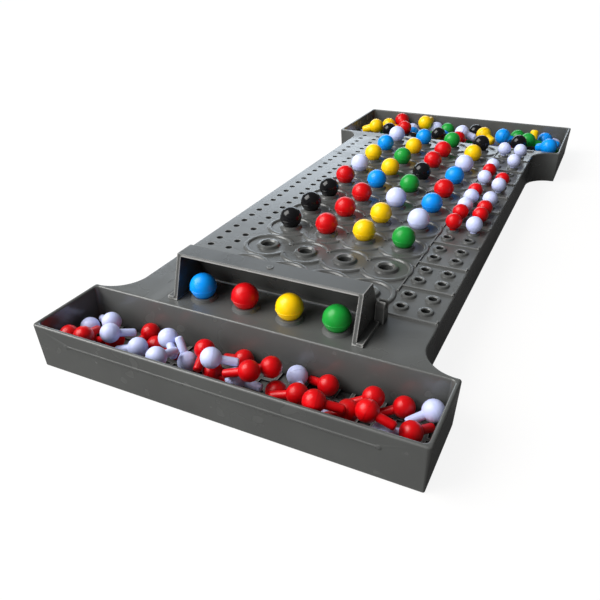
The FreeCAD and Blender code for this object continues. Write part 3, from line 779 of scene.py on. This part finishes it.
@dataclass
class Pegs:
    """All the pegs: standing in the field, under the shield, and lying in the trays."""

    code: PegShape = field(
        default_factory=lambda: PegShape(
            "code_peg_shape", 3.75, 3.66, 0.3, 2.0, 7.5, 1.2, 2.3, 3.2, flash=0.06
        )
    )
    key: PegShape = field(
        default_factory=lambda: PegShape(
            "key_peg_shape", 2.75, 2.71, 0.12, 1.1, 7.0, 0.6, 1.1, segments=32, rings=9
        )
    )
    seed: int = 41

    def build(self) -> list[bpy.types.Object]:
        """Builds and dresses one piece for each peg node, and lets each ride its body.

        Returns:
            The pieces.
        """
        planter = PegPlanter()
        finishes = {colour: finish.material() for colour, finish in PEG_FINISHES.items()}
        body_of = {n: b for b, nodes in bodies().items() for n in nodes}
        pieces = []
        for shape, words in ((self.code, ("code_peg", "secret_peg")), (self.key, ("key_peg",))):
            peg = shape.build()
            reader = PegPlaces(shape)
            for index, node in enumerate(self._nodes(words)):
                colour = PegColour.of_node(node)
                places = reader.read(node)
                piece = planter.plant(
                    node + "_look", places, peg, finishes[colour], self.seed + index
                )
                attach(piece, body_of[node])
                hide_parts(node)
                pieces.append(piece)
                LOG.info("%s: %d pegs", piece.name, len(places))
            bpy.data.objects.remove(peg)
        return pieces

    @staticmethod
    def _nodes(words: tuple[str, ...]) -> list[str]:
        """Lists the nodes whose names hold one of the words."""
        return sorted(n for n in frame["nodes"] if any(word in n for word in words))


def bodies() -> dict[str, list[str]]:
    """The record's bodies and the nodes in each."""
    return frame["record"]["behaviour"]["bodies"]



@dataclass
class Board:
    """The grey board: a joined copy of its solid that shades smooth on its roundings."""

    finish: BoardFinish = BoardFinish()
    smooth_below: float = 40.0

    def build(self) -> bpy.types.Object:
        """Builds and dresses the board.

        Returns:
            The piece.
        """
        piece = merged_copy("board", "board_look", self.smooth_below)
        weighted_normals(piece)
        settle_modifiers(piece)
        dress(piece, self.finish.material())
        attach(piece, "board")
        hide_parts("board")
        LOG.info("%s: %d faces", piece.name, len(piece.data.polygons))
        return piece


@dataclass
class Shield:
    """The flip-up shield, with its moulded edges rounded."""

    edge_rounding: float = 0.3
    edge_segments: int = 3

    def build(self) -> bpy.types.Object:
        """Builds and dresses the shield.

        Returns:
            The piece.
        """
        piece = merged_copy("code_shield", "code_shield_look", 30.0)
        self._join_flats(piece.data)
        bevel = piece.modifiers.new("moulded edges", "BEVEL")
        bevel.width = self.edge_rounding * MM
        bevel.segments = self.edge_segments
        bevel.limit_method = "ANGLE"
        bevel.angle_limit = math.radians(35)
        bevel.harden_normals = False
        weighted_normals(piece)
        settle_modifiers(piece)
        finish = BoardFinish(
            "shield_grey",
            (0.073, 0.075, 0.073),
            (0.064, 0.066, 0.064),
            # the shield's painted highlight on thin edges, over a wider edge width
            rub_wear_and_painted_highlight=(0.36, 0.36, 0.35),
            edge_width=0.65 * MM,
        )
        dress(piece, finish.material())
        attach(piece, "shield")
        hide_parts("code_shield")
        LOG.info("%s: %d faces", piece.name, len(piece.data.polygons))
        return piece

    @staticmethod
    def _join_flats(data: bpy.types.Mesh) -> None:
        """Joins the triangles of each flat face, so a bevel follows only real edges."""
        mesh = bmesh.new()
        mesh.from_mesh(data)
        bmesh.ops.dissolve_limit(
            mesh, angle_limit=math.radians(1.0), verts=mesh.verts, edges=mesh.edges
        )
        mesh.to_mesh(data)
        mesh.free()



@dataclass(frozen=True)
class Lamp:
    """A soft rectangular light that looks at the board."""

    name: str
    place: tuple[float, float, float]
    size: tuple[float, float]
    power: float
    colour: Colour = (1.0, 1.0, 1.0)
    mirrored: bool = True

    def build(self, target: Vector) -> None:
        """Adds the light, turned towards a point.

        Args:
            target: The point that it looks at.
        """
        light = bpy.data.lights.new(self.name, "AREA")
        light.shape = "RECTANGLE"
        light.size, light.size_y = self.size
        light.energy = self.power
        light.color = self.colour
        lamp = bpy.data.objects.new(self.name, light)
        lamp.location = self.place
        lamp.visible_glossy = self.mirrored
        lamp.rotation_euler = (target - Vector(self.place)).to_track_quat("-Z", "Y").to_euler()
        bpy.context.scene.collection.objects.link(lamp)


@dataclass
class Studio:
    """The pale floor, the lamps and the camera at the photograph's angle."""

    camera_place: tuple[float, float, float] = (0.07199, -0.2196, 0.1004)
    camera_tilt: tuple[float, float, float] = (59.627, 0.96, 26.316)
    lens: float = 37.154
    sensor: float = 36.0
    floor_size: float = 6.0
    world_level: float = 0.12
    floor_colour: Colour = (0.09, 0.087, 0.084)
    floor_glow: float = 0.89
    floor_mirrored: float = 0.04
    lamps: tuple[Lamp, ...] = (
        Lamp("window", (-0.6, -0.36, 0.76), (0.75, 0.75), 13.5, (1.0, 0.995, 0.98)),
        Lamp("front_fill", (-0.45, -1.0, 0.4), (1.2, 0.7), 11.5, mirrored=False),
        Lamp("far_window", (-0.6, 1.1, 0.34), (1.3, 0.36), 5.4, (0.8, 0.9, 1.0)),
    )

    def build(self) -> None:
        """Builds the floor, the world, the lamps and the camera."""
        self._floor()
        self._world()
        target = sum(CAD_BOX, Vector()) / 2
        for lamp in self.lamps:
            lamp.build(target)
        self._camera()
        bpy.context.scene.view_settings.view_transform = "Standard"

    def _floor(self) -> None:
        """Lays a pale floor that keeps the object's shadow."""
        mesh = bmesh.new()
        bmesh.ops.create_grid(mesh, x_segments=1, y_segments=1, size=self.floor_size / 2)
        data = bpy.data.meshes.new("floor")
        mesh.to_mesh(data)
        mesh.free()
        floor = bpy.data.objects.new("floor", data)
        bpy.context.scene.collection.objects.link(floor)
        tree = FinishTree("pale_floor")
        tree.shader.inputs["Base Color"].default_value = (*self.floor_colour, 1.0)
        tree.shader.inputs["Roughness"].default_value = 0.9
        tree.shader.inputs["Emission Color"].default_value = (1.0, 1.0, 1.0, 1.0)
        rays = tree.node("ShaderNodeLightPath")
        seen = tree.math("MAXIMUM", rays.outputs["Is Camera Ray"], rays.outputs["Is Transmission Ray"])
        mirrored = tree.math("MULTIPLY", rays.outputs["Is Glossy Ray"], self.floor_mirrored)
        shown = tree.math("MULTIPLY", tree.math("MAXIMUM", seen, mirrored), self.floor_glow)
        tree.link(shown, tree.shader.inputs["Emission Strength"])
        dress(floor, tree.material)

    def _world(self) -> None:
        """Surrounds the studio with an even white that lights it softly."""
        world = bpy.data.worlds.new("studio")
        world.use_nodes = True
        bpy.context.scene.world = world
        tree = ShaderTree(world.node_tree)
        background = world.node_tree.nodes["Background"]
        background.inputs["Color"].default_value = (1.0, 1.0, 1.0, 1.0)
        rays = tree.node("ShaderNodeLightPath")
        extra = tree.math("MULTIPLY", rays.outputs["Is Camera Ray"], 1.0 - self.world_level)
        level = tree.math("ADD", extra, self.world_level)
        tree.link(level, background.inputs["Strength"])

    def _camera(self) -> None:
        """Stands the camera where the photograph was taken from."""
        data = bpy.data.cameras.new("photo_view")
        data.lens = self.lens
        data.sensor_width = self.sensor
        data.clip_start = 0.01
        camera = bpy.data.objects.new("photo_view", data)
        camera.location = self.camera_place
        camera.rotation_euler = Euler([math.radians(a) for a in self.camera_tilt], "XYZ")
        bpy.context.scene.collection.objects.link(camera)
        bpy.context.scene.camera = camera


def main() -> None:
    """Builds the whole scene in order."""
    logging.basicConfig(level=logging.INFO, format="%(name)s: %(message)s")
    for builder in (Board(), Shield(), Pegs()):
        made = builder.build()
        LOG.info("%s built: %s", type(builder).__name__, made if isinstance(made, str) else "ok")
    Studio().build()


if __name__ == "__main__":
    main()
